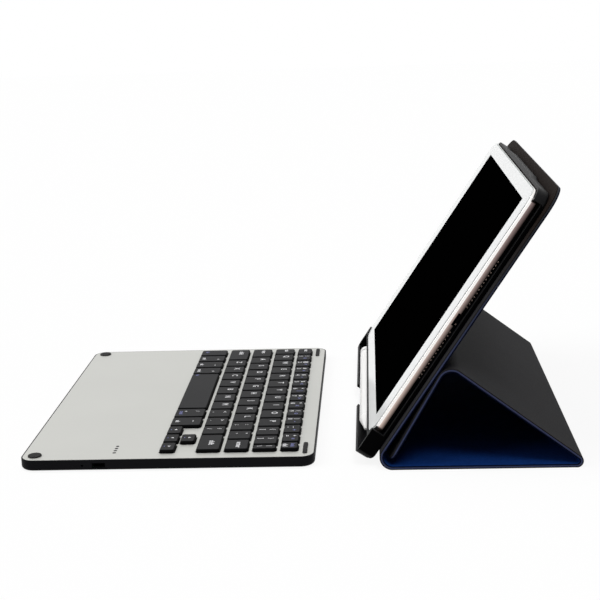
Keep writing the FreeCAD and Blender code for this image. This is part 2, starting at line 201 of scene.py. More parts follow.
def break_edges(piece, width, segments, angle=40.0):
    """Rounds the outer edges that turn by more than an angle and have room for it at both ends."""
    only(piece)
    bpy.ops.object.mode_set(mode="EDIT")
    mark(piece, "EDGE", lambda edge: edge.is_convex and edge.calc_face_angle(0.0) > math.radians(angle)
         and all(other.calc_length() > 2 * width for spot in edge.verts for other in spot.link_edges))
    bpy.ops.mesh.bevel(offset=width, segments=segments)
    bpy.ops.object.mode_set(mode="OBJECT")
    smooth(piece)


base = merged_copy("keyboard_base", "base")
break_edges(base, width=0.0002, segments=2)
case_plastic, surface, place = finish("case_plastic")
grain = place.noise(2200.0, 3.0)
cloud = place.noise(30.0)
set_surface(surface, Base_Color=cloud.mix((0.0080, 0.0080, 0.0092, 1), (0.0108, 0.0108, 0.0124, 1)),
            Roughness=0.36 + 0.16 * grain, Normal=place.bump(grain, 0.00003), Specular_IOR_Level=0.03)
wear(base, case_plastic)
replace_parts(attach(base, "keyboard"), "keyboard_base")


# Works inside the keyboard: pressed steel sheet, printed contact film, green circuit board with black
# chips, a foil-wrapped flat battery and the charging socket, all stacked on the base's floor. The
# tray's magnets and the back panel's keeper bars are of the same bright steel as the sheet.

sheet_steel, surface, place = finish("sheet_steel")
rolled = place.node("Mapping", None, {"Vector": place, "Scale": (60.0, 2400.0, 60.0)}).noise(1.0, 3.0)
set_surface(surface, Metallic=1.0, Base_Color=rolled.mix((0.42, 0.42, 0.43, 1), (0.56, 0.56, 0.57, 1)),
            Roughness=0.3 + 0.15 * rolled)
for name in ("support_sheet", "tray_magnets", "back_keepers"):
    wear(nodes[name], sheet_steel)

contact_film, surface, place = finish("contact_film")
traces = place.node("TexBrick", {"offset": 0.5},
                    {"Vector": place, "Scale": 90.0, "Mortar Size": 0.03}, "Fac")
set_surface(surface, Base_Color=traces.mix((0.018, 0.019, 0.02, 1), (0.05, 0.05, 0.052, 1)), Roughness=0.35)
wear(nodes["membrane_sheet"], contact_film)

board_green, surface, place = finish("board_green")
tracks = place.node("TexBrick", {"offset": 0.3},
                    {"Vector": place, "Scale": 160.0, "Mortar Size": 0.05}, "Fac")
set_surface(surface, Base_Color=tracks.mix((0.01, 0.10, 0.04, 1), (0.03, 0.2, 0.09, 1)), Roughness=0.3)
wear(nodes["main_board"], board_green)

chip_black, surface, place = finish("chip_black")
set_surface(surface, Base_Color=place.noise(900.0).mix((0.012, 0.012, 0.012, 1), (0.03, 0.03, 0.03, 1)),
            Roughness=0.6)
wear(nodes["board_chips"], chip_black)

port_dark, surface, place = finish("port_dark")
set_surface(surface, Base_Color=place.noise(700.0).mix((0.003, 0.003, 0.003, 1), (0.006, 0.006, 0.006, 1)),
            Roughness=0.6, Specular_IOR_Level=0.02)
wear(nodes["charge_socket"], port_dark)

battery_foil, surface, place = finish("battery_foil")
crease = place.noise(140.0, 4.0)
set_surface(surface, Metallic=1.0, Base_Color=crease.mix((0.45, 0.45, 0.46, 1), (0.6, 0.6, 0.61, 1)),
            Roughness=0.25 + 0.2 * crease, Normal=place.bump(crease, 0.0001))
wear(nodes["battery"], battery_foil)


# Top plate: sheet aluminium, blanked with a window for every key, blasted and anodised silver, with
# its edges broken to a fine bright chamfer. It is bonded to the base's rim.

plate = merged_copy("top_plate", "plate")
break_edges(plate, width=0.00018, segments=2)
plate_silver, surface, place = finish("plate_silver")
blast = place.noise(3200.0)
haze = place.noise(14.0, 3.0)
set_surface(surface, Metallic=1.0, Base_Color=haze.mix((0.536, 0.538, 0.515, 1), (0.572, 0.574, 0.548, 1)),
            Roughness=0.52 + 0.1 * blast, Normal=place.bump(blast, 0.000012))
wear(plate, plate_silver)
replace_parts(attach(plate, "keyboard"), "top_plate")


# Keycaps: thin hollow mouldings in black plastic with rounded corners, a softened rim and a smooth top
# between sides painted darker and duller as shade, printed in white and violet ink. Each clips onto its
# links and rests on a rubber dome, and goes 1.4 mm down.

def settle(piece, name):
    """Puts a piece's place into its mesh, with the object itself at the origin."""
    only(piece)
    bpy.ops.object.transform_apply(location=True, rotation=True, scale=True)
    piece.name = name
    piece.data.name = name
    return piece


def joined(pieces, name):
    """One piece made of several."""
    only(*pieces)
    if len(pieces) > 1:
        bpy.ops.object.join()
    return settle(pieces[0], name)


def copied(piece, shift):
    """A copy with its own mesh, moved from where the first one stands."""
    only(piece)
    bpy.ops.object.duplicate(linked=False)
    copy = bpy.context.view_layer.objects.active
    copy.location = piece.location + shift
    return copy


def solid_boxes(node):
    """Corners of each separate solid of a node, from left to right."""
    merged_copy(node, "solids_apart")
    bpy.ops.object.mode_set(mode="EDIT")
    bpy.ops.mesh.select_all(action="SELECT")
    bpy.ops.mesh.separate(type="LOOSE")
    bpy.ops.object.mode_set(mode="OBJECT")
    boxes = []
    for part in list(bpy.context.selected_objects):
        spots = [vertex.co for vertex in part.data.vertices]
        low = Vector([min(spot[axis] for spot in spots) for axis in range(3)])
        high = Vector([max(spot[axis] for spot in spots) for axis in range(3)])
        boxes.append((low, high))
        bpy.data.objects.remove(part)
    return sorted(boxes, key=lambda corners: corners[0].x)


squarely = 0.9
hair = 1e-6


def upright(edge):
    """Whether an edge stands straight up."""
    return abs(edge.verts[0].co.z - edge.verts[1].co.z) > squarely * edge.calc_length()


cap_corner, cap_rim = 0.0016, 0.0009
cap_wall, cap_hollow = 0.0009, 0.0019


def keycap(low, high):
    """One cap: a block with round corners, a soft rim and a hollow underside."""
    bpy.ops.object.select_all(action="DESELECT")
    bpy.ops.mesh.primitive_cube_add(size=1, location=(low + high) / 2, scale=high - low)
    cap = bpy.context.active_object
    bpy.ops.object.transform_apply(location=False, rotation=False, scale=True)
    bpy.ops.object.mode_set(mode="EDIT")
    mark(cap, "EDGE", upright)
    bpy.ops.mesh.bevel(offset=cap_corner, segments=4)
    mark(cap, "FACE", lambda face: face.normal.z < -squarely)
    bpy.ops.mesh.inset(thickness=cap_wall, depth=0.0)
    bpy.ops.mesh.extrude_region_move(TRANSFORM_OT_translate={"value": (0, 0, cap_hollow)})
    top = (high.z - low.z) / 2
    mark(cap, "EDGE", lambda edge: all(abs(v.co.z - top) < hair for v in edge.verts)
         and any(face.normal.z < squarely for face in edge.link_faces))
    bpy.ops.mesh.bevel(offset=cap_rim, segments=4)
    bpy.ops.object.mode_set(mode="OBJECT")
    return cap


capital_share = 0.7
ink_swell, ink_half, ink_lift = 0.00009, 0.00001, 0.00001


def printed(word, height, ink, spot):
    """A word or sign in ink on a cap's top, as a hair-thin solid whose capitals are so high."""
    bpy.ops.object.select_all(action="DESELECT")
    bpy.ops.object.text_add(location=spot)
    sign = bpy.context.active_object
    sign.data.body = word
    sign.data.size = height / capital_share
    sign.data.align_x = "CENTER"
    sign.data.align_y = "CENTER"
    sign.data.resolution_u = 3
    sign.data.offset = ink_swell
    sign.data.extrude = ink_half
    bpy.ops.object.convert(target="MESH")
    wear(sign, ink)
    return sign


def arrow(turn, ink, spot):
    """A solid arrowhead in ink on a cap's top, turned from pointing to the screen."""
    bpy.ops.object.select_all(action="DESELECT")
    bpy.ops.mesh.primitive_circle_add(vertices=3, radius=0.0013, fill_type="NGON", location=spot,
                                      rotation=(0, 0, math.radians(turn)))
    head = bpy.context.active_object
    bpy.ops.object.mode_set(mode="EDIT")
    bpy.ops.mesh.select_all(action="SELECT")
    bpy.ops.mesh.extrude_region_move(TRANSFORM_OT_translate={"value": (0, 0, 2 * ink_half)})
    bpy.ops.mesh.select_all(action="SELECT")
    bpy.ops.mesh.normals_make_consistent(inside=False)
    bpy.ops.object.mode_set(mode="OBJECT")
    wear(head, ink)
    return head


key_plastic, surface, place = finish("key_plastic")
grain = place.noise(2600.0)
touch = place.noise(45.0, 3.0)
set_surface(surface, Base_Color=touch.mix((0.0130, 0.0130, 0.0138, 1), (0.0175, 0.0175, 0.0186, 1)),
            Roughness=0.42 + 0.12 * grain + 0.06 * touch, Normal=place.bump(grain, 0.000018),
            Specular_IOR_Level=0.06)
# Painted shade: the caps' sides and rims wear a copy of the cap plastic painted much darker.
key_side, surface, place = finish("key_side")
grain = place.noise(1900.0)
set_surface(surface, Base_Color=grain.mix((0.0024, 0.0024, 0.0027, 1), (0.0040, 0.0040, 0.0044, 1)),
            Roughness=0.5 + 0.1 * grain, Normal=place.bump(grain, 0.00002), Specular_IOR_Level=0.02)
ink_white, surface, place = finish("ink_white")
set_surface(surface, Base_Color=place.noise(1800.0).mix((0.70, 0.70, 0.72, 1), (0.80, 0.80, 0.82, 1)),
            Roughness=0.55)
ink_violet, surface, place = finish("ink_violet")
set_surface(surface, Base_Color=place.noise(1800.0).mix((0.11, 0.12, 0.30, 1), (0.15, 0.16, 0.38, 1)),
            Roughness=0.55)


def word_on(word, height=0.0031, across=0.36, along=0.58):
    """A cap's one word, its place as shares of the width from the left and of the depth from the palm
    rest, its height in metres and its ink."""
    return [(word, across, along, height, ink_white)]


def letters_on(row):
    """A row of large letters, one to a cap."""
    return [word_on(letter, 0.0040, 0.40, 0.62) for letter in row]


pairs_on = [[(low, 0.36, 0.28, 0.0030, ink_white), (high, 0.36, 0.72, 0.0028, ink_white)]
            for low, high in zip("[];',./\\", "{}:\"<>?|")]
signs = {
    "key_escape": [word_on("esc")],
    "key_tab": [word_on("tab")],
    "key_caps": [word_on("caps")],
    "key_enter": [word_on("enter", 0.0034, 0.55)],
    "key_shift_left": [word_on("shift", 0.0034, 0.36)],
    "key_shift_right": [word_on("shift", 0.0034, 0.55)],
    "key_lock": [word_on("del", 0.0032, 0.5, 0.24) + [("lock", 0.5, 0.68, 0.0026, ink_violet)]],
    "key_space": [[("fn", 0.035, 0.2, 0.0026, ink_violet)]],
    "keys_upper": letters_on("QWERTYUIOP") + pairs_on[:2] + pairs_on[7:],
    "keys_home": letters_on("ASDFGHJKL") + pairs_on[2:4],
    "keys_lower": letters_on("ZXCVBNM") + pairs_on[4:7],
    "keys_number": [[(low, 0.33, 0.26, 0.0030, ink_white), (high, 0.33, 0.70, 0.0028, ink_white),
                     (extra, 0.70, 0.62, 0.0034, ink_violet)]
                    for low, high, extra in zip("1234567890-=", "!@#$%^&*()_+", "o*+-<|>xo-+=")],
    "keys_modifier_left": [[("fn", 0.40, 0.22, 0.0028, ink_violet)]] + [
        [(word, 0.5, 0.20, 0.0028, ink_white), (sign, 0.66, 0.72, 0.0028, ink_white)]
        for word, sign in (("ctrl", "^"), ("alt", "~"), ("cmd", "+"))],
    "keys_modifier_right": [[("cmd", 0.5, 0.20, 0.0028, ink_violet), ("+", 0.34, 0.34, 0.0026, ink_white),
                             ("/", 0.34, 0.74, 0.0026, ink_white)],
                            [("alt", 0.5, 0.20, 0.0028, ink_white), ("~", 0.5, 0.72, 0.0028, ink_white)]],
}
heads = {"key_arrow_up": 0, "key_arrow_left": 90, "key_arrow_down": 180, "key_arrow_right": 270}
head_up, dash_down, dash_height = 0.0008, 0.0019, 0.003

key_nodes = sorted(name for name in nodes
                   if name.startswith("key") and name not in ("key_domes", "keyboard_base"))
key_boxes = {}
patterns = {}
for node in key_nodes:
    key_boxes[node] = solid_boxes(node)
    parts = []
    for place_in_row, (low, high) in enumerate(key_boxes[node]):
        size = (round(high.x - low.x, 5), round(high.y - low.y, 5))
        if size not in patterns:
            patterns[size] = keycap(low, high)
            smooth(patterns[size], angle=40.0)
            wear(patterns[size], key_plastic, key_side)
            # Every face but the flat top wears the side copy, which is painted darker as shade.
            for face in patterns[size].data.polygons:
                face.material_index = 1 if face.normal.z < squarely else 0
        parts.append(copied(patterns[size], (low + high) / 2 - patterns[size].location))
        for word, across, along, height, ink in signs[node][place_in_row] if node in signs else ():
            spot = Vector((low.x + across * (high.x - low.x), low.y + along * (high.y - low.y),
                           high.z + ink_lift))
            parts.append(printed(word, height, ink, spot))
        if node in heads:
            middle = (low + high) / 2
            parts.append(arrow(heads[node], ink_white, Vector((middle.x, middle.y + head_up, high.z))))
            spot = Vector((middle.x, middle.y - dash_down, high.z + ink_lift))
            parts.append(printed("-", dash_height, ink_violet, spot))
    row = joined(parts, "cap" + node[3:])
    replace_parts(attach(row, node), node)
for pattern in patterns.values():
    bpy.data.objects.remove(pattern)


# Rubber domes: one moulded silicone dome stands under each cap on the contact film and springs it
# back.

dome_low, dome_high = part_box("key_domes")
bpy.ops.object.select_all(action="DESELECT")
bpy.ops.mesh.primitive_cone_add(vertices=16, radius1=0.0028, radius2=0.0015,
                                depth=dome_high.z - dome_low.z,
                                location=(0, 0, (dome_low.z + dome_high.z) / 2))
dome = bpy.context.active_object
bpy.ops.object.mode_set(mode="EDIT")
mark(dome, "FACE", lambda face: face.normal.z > squarely)
bpy.ops.mesh.bevel(offset=0.0005, segments=2)
bpy.ops.object.mode_set(mode="OBJECT")
smooth(dome)
dome_rubber, surface, place = finish("dome_rubber")
set_surface(surface, Base_Color=place.noise(300.0).mix((0.05, 0.05, 0.055, 1), (0.08, 0.08, 0.085, 1)),
            Roughness=0.7)
for node in key_nodes:
    middles = [(low + high) / 2 for low, high in key_boxes[node]]
    domes = joined([copied(dome, Vector((spot.x, spot.y, 0))) for spot in middles], "domes" + node[3:])
    wear(domes, dome_rubber)
    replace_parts(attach(domes, "keyboard"), "key_domes")
    node + "_press"
    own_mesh(domes)
bpy.data.objects.remove(dome)


# Bumpers: soft black rubber buttons and bars glued to the plate, which keep the closed tablet off
# the keys, and flat rubber feet under the base.

corner_room = 0.00001


def bumper(low, high, corner, lip):
    """A low moulded block with round corners and a rounded lip."""
    bpy.ops.object.select_all(action="DESELECT")
    bpy.ops.mesh.primitive_cube_add(size=1, location=(low + high) / 2, scale=high - low)
    block = bpy.context.active_object
    bpy.ops.object.transform_apply(location=False, rotation=False, scale=True)
    bpy.ops.object.mode_set(mode="EDIT")
    mark(block, "EDGE", upright)
    bpy.ops.mesh.bevel(offset=corner - corner_room, segments=10, clamp_overlap=True)
    mark(block, "FACE", lambda face: face.normal.z > squarely)
    bpy.ops.mesh.bevel(offset=lip, segments=3)
    bpy.ops.object.mode_set(mode="OBJECT")
    smooth(block)
    return block


pad_rubber, surface, place = finish("pad_rubber")
dust = place.noise(1500.0, 3.0)
set_surface(surface, Base_Color=dust.mix((0.015, 0.015, 0.015, 1), (0.026, 0.026, 0.026, 1)),
            Roughness=0.62 + 0.2 * dust, Normal=place.bump(dust, 0.00002), Specular_IOR_Level=0.12)
for node, corner in (("palm_pads", 0.0043), ("top_pads", 0.0013)):
    row = joined([bumper(low, high, corner, lip=0.0003) for low, high in solid_boxes(node)],
                 node[:-1] + "_bumpers")
    wear(row, pad_rubber)
    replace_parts(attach(row, "keyboard"), node)
wear(nodes["rubber_feet"], pad_rubber)


# Status lights: four light pipes of smoked clear plastic, pressed into a row of drilled holes. Each has
# a thin round lens on top, a little wider than its hole.

smoked, surface, place = finish("smoked_window")
set_surface(surface, Base_Color=place.noise(800.0).mix((0.006, 0.006, 0.007, 1), (0.012, 0.012, 0.013, 1)),
            Roughness=0.3, Specular_IOR_Level=0.05)
wear(nodes["status_lights"], smoked)
lens_radius, lens_rise, lens_foot = 0.00112, 0.00006, 0.0004
lenses = []
for low, high in solid_boxes("status_lights"):
    middle = (low + high) / 2
    lens_low = Vector((middle.x - lens_radius, middle.y - lens_radius, high.z - lens_foot))
    lens_high = Vector((middle.x + lens_radius, middle.y + lens_radius, high.z + lens_rise))
    lenses.append(bumper(lens_low, lens_high, lens_radius, lip=0.00003))
light_lenses = joined(lenses, "light_lenses")
wear(light_lenses, smoked)
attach(light_lenses, "keyboard")


# Tray: one black moulding with a fine matt texture, its end faces painted darker and duller as shade.
# Corner grips hold the tablet, and a channel with a thumb notch holds the pen behind a lip as high as the
# glass. Magnets in its back hold it to the cover.

joints = {joint["name"]: joint for joint in frame["joints"]}
spine = Vector(joints["back_tilt"]["pos_m"])
outwards = Vector(joints["tablet_lift"]["axis"])
upwards = Vector((0, outwards.z, -outwards.y))
lean = (math.atan2(upwards.z, upwards.y), 0, 0)


def leaning(across, along, above):
    """A point of the leaning panel's frame: across it, up along it, and out of it."""
    return Vector((across, 0, 0)) + spine + upwards * along + outwards * above


lip_along, lip_above = 0.00025, 0.01775
lip_size = (0.2502, 0.00136, 0.0013)

tray = merged_copy("tray_shell", "tray")
break_edges(tray, width=0.00035, segments=3)
bpy.ops.object.select_all(action="DESELECT")
bpy.ops.mesh.primitive_cube_add(size=1, location=leaning(0, lip_along, lip_above), scale=lip_size,
                                rotation=lean)
lip = settle(bpy.context.active_object, "lip")
break_edges(lip, width=0.0003, segments=3)
tray = joined([tray, lip], "tray")
tray_plastic, surface, place = finish("tray_plastic")
grain = place.noise(2000.0, 3.0)
cloud = place.noise(26.0)
set_surface(surface, Base_Color=cloud.mix((0.0042, 0.0042, 0.0048, 1), (0.0066, 0.0066, 0.0073, 1)),
            Roughness=0.40 + 0.12 * grain, Normal=place.bump(grain, 0.00003), Specular_IOR_Level=0.08)
# Painted shade: the tray's end faces wear a copy of its plastic painted darker and duller.
tray_side, surface, place = finish("tray_side")
grain = place.noise(2000.0, 3.0)
set_surface(surface, Base_Color=grain.mix((0.0012, 0.0012, 0.0014, 1), (0.0022, 0.0022, 0.0024, 1)),
            Roughness=0.55 + 0.1 * grain, Normal=place.bump(grain, 0.00003), Specular_IOR_Level=0.01)
wear(tray, tray_plastic, tray_side)
for face in tray.data.polygons:
    face.material_index = 1 if abs(face.normal.x) > squarely else 0
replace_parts(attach(tray, "tray"), "tray_shell")


# Tablet: an anodised rose metal housing with a polished upper edge painted near white as reflection, a port
# and two rows of sound holes in its side, and a glass front with a white border printed behind it round the
# dark screen, and a grey line painted as shade on the ledge under the glass's edge. The tray's grips hold
# it.
# Its side is painted darker towards the tray as shade and paler towards the table as reflection.

edge_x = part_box("tablet_housing")[1].x
polished_level, seam_level = 0.0160, 0.0177
port_along, port_half, port_depth, port_mouth = 0.09075, 0.0046, 0.0061, 0.0001
brow_inset, brow_level = 0.00041, 0.01525
brow_size = (0.0008, 0.0096, 0.0011)

housing = merged_copy("tablet_housing", "housing")
break_edges(housing, width=0.0003, segments=3)
bpy.ops.object.select_all(action="DESELECT")
bpy.ops.mesh.primitive_cube_add(size=1, location=leaning(edge_x - brow_inset, port_along, brow_level),
                                scale=brow_size, rotation=lean)
port_brow = settle(bpy.context.active_object, "port_brow")
break_edges(port_brow, width=0.00005, segments=1)
housing = joined([housing, port_brow], "housing")
bpy.ops.object.mode_set(mode="EDIT")
bpy.ops.mesh.select_all(action="SELECT")
bpy.ops.mesh.bisect(plane_co=leaning(0, 0, polished_level), plane_no=outwards)
bpy.ops.object.mode_set(mode="OBJECT")
rose_metal, surface, place = finish("rose_metal")
blast = place.noise(3000.0)
level = place.node("VectorMath", {"operation": "DOT_PRODUCT"},
                   {"Vector": place, "Vector_001": outwards}, "Value") - outwards.dot(spine)
# Painted shade: below the polished band the rose fades to near black towards the tray.
dark_level = 0.0118
painted_tray_shade = level.between(dark_level, polished_level)
# Painted reflection: the rose is greyer high up and paler towards the table, with a little blast in it.
grey_height, pale_height = 0.15, 0.025
painted_reflection_and_blast = 0.94 * place.rise().between(grey_height, pale_height) + 0.06 * blast
rose = painted_reflection_and_blast.mix((0.300, 0.222, 0.216, 1), (0.74, 0.58, 0.51, 1))
set_surface(surface, Metallic=1.0, Base_Color=(painted_tray_shade * painted_tray_shade).mix((0.012, 0.007, 0.006, 1), rose),
            Roughness=0.26 + 0.08 * blast)
rose_back, surface, place = finish("rose_back")
blast = place.noise(3000.0)
set_surface(surface, Metallic=1.0, Base_Color=blast.mix((0.50, 0.33, 0.31, 1), (0.56, 0.38, 0.35, 1)),
            Roughness=0.30 + 0.08 * blast)
# Painted reflection: the polished band at the top of the side is near white, not rose.
polished_glare, surface, place = finish("polished_edge")
wipe = place.noise(40.0)
set_surface(surface, Metallic=1.0, Base_Color=wipe.mix((0.90, 0.87, 0.85, 1), (0.94, 0.92, 0.90, 1)),
            Roughness=0.14)
# Painted shade: the ledge under the glass's edge is grey, as a line of shade in the seam.
seam_grey, surface, place = finish("seam_grey")
set_surface(surface, Base_Color=place.noise(200.0).mix((0.33, 0.36, 0.35, 1), (0.38, 0.41, 0.40, 1)),
            Roughness=0.5)
housing_finishes = [rose_metal, polished_glare, seam_grey, port_dark, rose_back]
wear(housing, *housing_finishes)
for face in housing.data.polygons:
    from_spine = face.center - spine
    inwards = edge_x - face.center.x
    facing = face.normal.dot(outwards)
    face_finish = rose_metal
    if abs(from_spine.dot(upwards) - port_along) < port_half and port_mouth < inwards < port_depth:
        face_finish = port_dark
    elif from_spine.dot(outwards) > seam_level and facing > squarely:
        face_finish = seam_grey
    elif from_spine.dot(outwards) > polished_level:
        face_finish = polished_glare
    elif facing < -squarely:
        face_finish = rose_back
    face.material_index = housing_finishes.index(face_finish)
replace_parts(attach(housing, "tablet"), "tablet_housing")

hole_turn = math.radians(30)
hole_axis = Vector((math.cos(hole_turn), 0, 0)) - outwards * math.sin(hole_turn)
hole_radius, hole_rim_width, hole_rise, hole_depth = 0.00044, 0.00017, 0.00012, 0.00008
hole_rows = ((0.0488, 0.0822, 14), (0.1006, 0.1332, 14), (0.0881, 0.0881, 1))
side_round, side_level, hole_sunk = 0.003, 0.0139, 0.00003

bpy.ops.object.select_all(action="DESELECT")
bpy.ops.mesh.primitive_circle_add(vertices=12, radius=hole_radius, fill_type="NGON")
hole = bpy.context.active_object
bpy.ops.object.mode_set(mode="EDIT")
bpy.ops.mesh.select_all(action="SELECT")
bpy.ops.mesh.extrude_region_move(TRANSFORM_OT_translate={"value": (0, 0, hole_rise)})
mark(hole, "FACE", lambda face: face.normal.z > squarely)
bpy.ops.mesh.inset(thickness=hole_rim_width, depth=0.0)
bpy.ops.mesh.extrude_region_move(TRANSFORM_OT_translate={"value": (0, 0, -hole_depth)})
bpy.ops.mesh.select_all(action="SELECT")
bpy.ops.mesh.normals_make_consistent(inside=False)
bpy.ops.object.mode_set(mode="OBJECT")
hole_rim, surface, place = finish("hole_rim")
set_surface(surface, Base_Color=place.noise(900.0).mix((0.60, 0.46, 0.38, 1), (0.68, 0.54, 0.46, 1)),
            Roughness=0.4)
wear(hole, hole_rim, port_dark)
for face in hole.data.polygons:
    face.material_index = 1 if len(face.vertices) > 4 and face.normal.z > squarely else 0
hole.rotation_euler = hole_axis.to_track_quat("Z", "Y").to_euler()
holes = []
for first, last, count in hole_rows:
    for step in range(count):
        along = first + (last - first) * step / max(count - 1, 1)
        spot = leaning(edge_x - side_round, along, side_level) + hole_axis * (side_round - hole_sunk)
        holes.append(copied(hole, spot - hole.location))
sound_holes = joined(holes, "sound_holes")
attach(sound_holes, "tablet")
bpy.data.objects.remove(hole)

border_white, surface, place = finish("border_white")
set_surface(surface, Base_Color=place.noise(9.0).mix((0.90, 0.91, 0.91, 1), (0.92, 0.93, 0.93, 1)),
            Roughness=0.12, Specular_IOR_Level=0.15)
wear(nodes["tablet_border"], border_white)
screen_dark, surface, place = finish("screen_dark")
smear = place.noise(12.0)
set_surface(surface, Base_Color=smear.mix((0.0002, 0.0002, 0.0002, 1), (0.0004, 0.0004, 0.0004, 1)),
            Roughness=0.2, Specular_IOR_Level=0.0)
wear(nodes["tablet_screen"], screen_dark)


# Pen: a gloss white moulded barrel with a rounded cap and a screw-on cone tip, and a turned metal band
# between barrel and cap. It lies loose in the tray's channel.

def turned_rod(node, name, radius_left, radius_right, left_round, right_round):
    """A round piece along X between a node's two ends, with its end edges rounded."""
    low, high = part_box(node)
    middle = (low + high) / 2
    bpy.ops.object.select_all(action="DESELECT")
    bpy.ops.mesh.primitive_cone_add(vertices=48, radius1=radius_left, radius2=radius_right,
                                    depth=high.x - low.x, location=middle,
                                    rotation=(0, math.radians(90), 0))
    rod = settle(bpy.context.active_object, name)
    bpy.ops.object.mode_set(mode="EDIT")
    for end, size in ((low.x, left_round), (high.x, right_round)):
        mark(rod, "EDGE", lambda edge: all(abs(v.co.x - end) < hair for v in edge.verts))
        bpy.ops.mesh.bevel(offset=size, segments=6)
    bpy.ops.object.mode_set(mode="OBJECT")
    smooth(rod)
    return rod


pen_white, surface, place = finish("pen_white")
set_surface(surface, Base_Color=place.noise(60.0).mix((0.84, 0.83, 0.82, 1), (0.87, 0.86, 0.85, 1)),
            Roughness=0.18)
pen_metal, surface, place = finish("pen_metal")
turning = place.node("Mapping", None, {"Vector": place, "Scale": (9000.0, 40.0, 40.0)}).noise(1.0)
set_surface(surface, Metallic=1.0, Base_Color=turning.mix((0.05, 0.05, 0.055, 1), (0.10, 0.10, 0.105, 1)),
            Roughness=0.35)
pen_radius, band_radius, point_radius = 0.00445, 0.00435, 0.0012
cap_round, point_round, edge_round = 0.0024, 0.0008, 0.0002
for node, slot, material, sizes in (
        ("pen_cap", "pen_white", pen_white, (pen_radius, pen_radius, cap_round, edge_round)),
        ("pen_band", "pen_metal", pen_metal, (band_radius, band_radius, edge_round, edge_round)),
        ("pen_barrel", "pen_white", pen_white, (pen_radius, pen_radius, edge_round, edge_round)),
        ("pen_tip", "pen_white", pen_white, (pen_radius, point_radius, edge_round, point_round))):
    rod = turned_rod(node, node + "_turned", *sizes)
    wear(rod, material)
    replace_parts(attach(rod, "pen"), node)


# Cover boards: dyed stiffener boards inside the four panels. Their slate-blue cut edges show between
# leather and lining along the sides, and are painted dark towards the top as shade.

edge_slate, surface, place = finish("edge_slate")
fibre = place.noise(1100.0, 3.0)
# Painted shade: the slate edges fade to near black between 6.6 and 13 cm up.
lit_height, shade_height = 0.066, 0.130
painted_top_shade = place.rise().between(lit_height, shade_height)
dyed = fibre.mix((0.037, 0.047, 0.106, 1), (0.054, 0.067, 0.148, 1))
shaded_slate = fibre.mix((0.013, 0.015, 0.020, 1), (0.020, 0.023, 0.029, 1))
set_surface(surface, Base_Color=painted_top_shade.mix(dyed, shaded_slate), Roughness=0.6,
            Normal=place.bump(fibre, 0.00004), Specular_IOR_Level=0.15)
for name in ("back_board", "base_board", "rear_board", "flap_board"):
    wear(nodes[name], edge_slate)


# Cover skins: black grained leather glued outside each board and blue microfibre glued inside it, cut
# flush with the board along the sides. The leather is darker and browner towards the top.

rear_fold = Vector(joints["rear_fold"]["pos_m"])
apex = Vector(joints["flap_fold"]["pos_m"])
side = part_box("base_leather")[1].x
lining_thick, core_thick, leather_thick = 0.0008, 0.0009, 0.0007
cover_thick = lining_thick + core_thick + leather_thick
spine_inner, rear_inner, apex_inner = 0.0056, 0.0016, 0.0068
back_length, base_length, flap_length = 0.18885, 0.1106, 0.060
back_corner, flap_corner, soft_edge = 0.015, 0.006, 0.0002
back_turn, rear_turn, flap_turn = 56.0, 37.0, 60.0


def skin(name, low, high, inner, thickness, corners, shown, angle, centre):
    """A thin sheet, as long as from low to high, with rounded corners and its shown face's free edges
    pressed soft, turned about a bend's centre."""
    bpy.ops.object.select_all(action="DESELECT")
    bpy.ops.mesh.primitive_plane_add(size=1, location=(0, (low + high) / 2, inner))
    sheet = bpy.context.active_object
    sheet.scale = (2 * side, high - low, 1)
    settle(sheet, name)
    bpy.ops.object.mode_set(mode="EDIT")
    for end, size in ((low, corners[0]), (high, corners[1])):
        if size:
            mark(sheet, "VERT", lambda spot: abs(spot.co.y - end) < hair)
            bpy.ops.mesh.bevel(offset=size, segments=8, affect="VERTICES")
    bpy.ops.mesh.select_all(action="SELECT")
    bpy.ops.mesh.extrude_region_move(TRANSFORM_OT_translate={"value": (0, 0, thickness)})
    bpy.ops.mesh.select_all(action="SELECT")
    bpy.ops.mesh.normals_make_consistent(inside=False)
    held_ends = [end for end, size in ((low, corners[0]), (high, corners[1])) if not size]
    mark(sheet, "EDGE", lambda edge: all(abs(v.co.z - shown) < hair for v in edge.verts)
         and not any(all(abs(v.co.y - end) < hair for v in edge.verts) for end in held_ends))
    bpy.ops.mesh.bevel(offset=soft_edge, segments=2)
    bpy.ops.object.mode_set(mode="OBJECT")
    sheet.rotation_euler = (math.radians(angle), 0, 0)
    sheet.location = centre
    settle(sheet, name)
    return sheet


leather, surface, place = finish("leather")
pores = place.node("TexVoronoi", {"feature": "DISTANCE_TO_EDGE"},
                   {"Vector": place, "Scale": 1300.0}, "Distance")
grain = place.noise(900.0, 4.0)
hide = place.noise(22.0, 3.0)
dyed = hide.mix((0.0186, 0.0183, 0.0196, 1), (0.0243, 0.0239, 0.0254, 1))
# The leather turns darker and browner between 11 and 15 cm up.
black_height, browned_height = 0.11, 0.15
browned_top = place.rise().between(black_height, browned_height)
set_surface(surface, Base_Color=browned_top.mix(dyed, (0.0130, 0.0094, 0.0080, 1)),
            Roughness=0.58 + 0.14 * grain, Normal=place.bump(0.6 * pores + 0.4 * grain, 0.00006),
            Specular_IOR_Level=0.02)
lining, surface, place = finish("lining")
fibre = place.noise(3800.0, 3.0)
nap = 0.35 * place.noise(60.0, 3.0) + 0.65 * place.noise(620.0, 3.0)
set_surface(surface, Base_Color=nap.mix((0.0008, 0.0090, 0.060, 1), (0.0064, 0.040, 0.194, 1)),
            Roughness=0.86 + 0.1 * fibre, Normal=place.bump(fibre, 0.00008),
            Sheen_Weight=0.03, Sheen_Tint=(0.25, 0.45, 1.0, 1.0), Specular_IOR_Level=0.02)
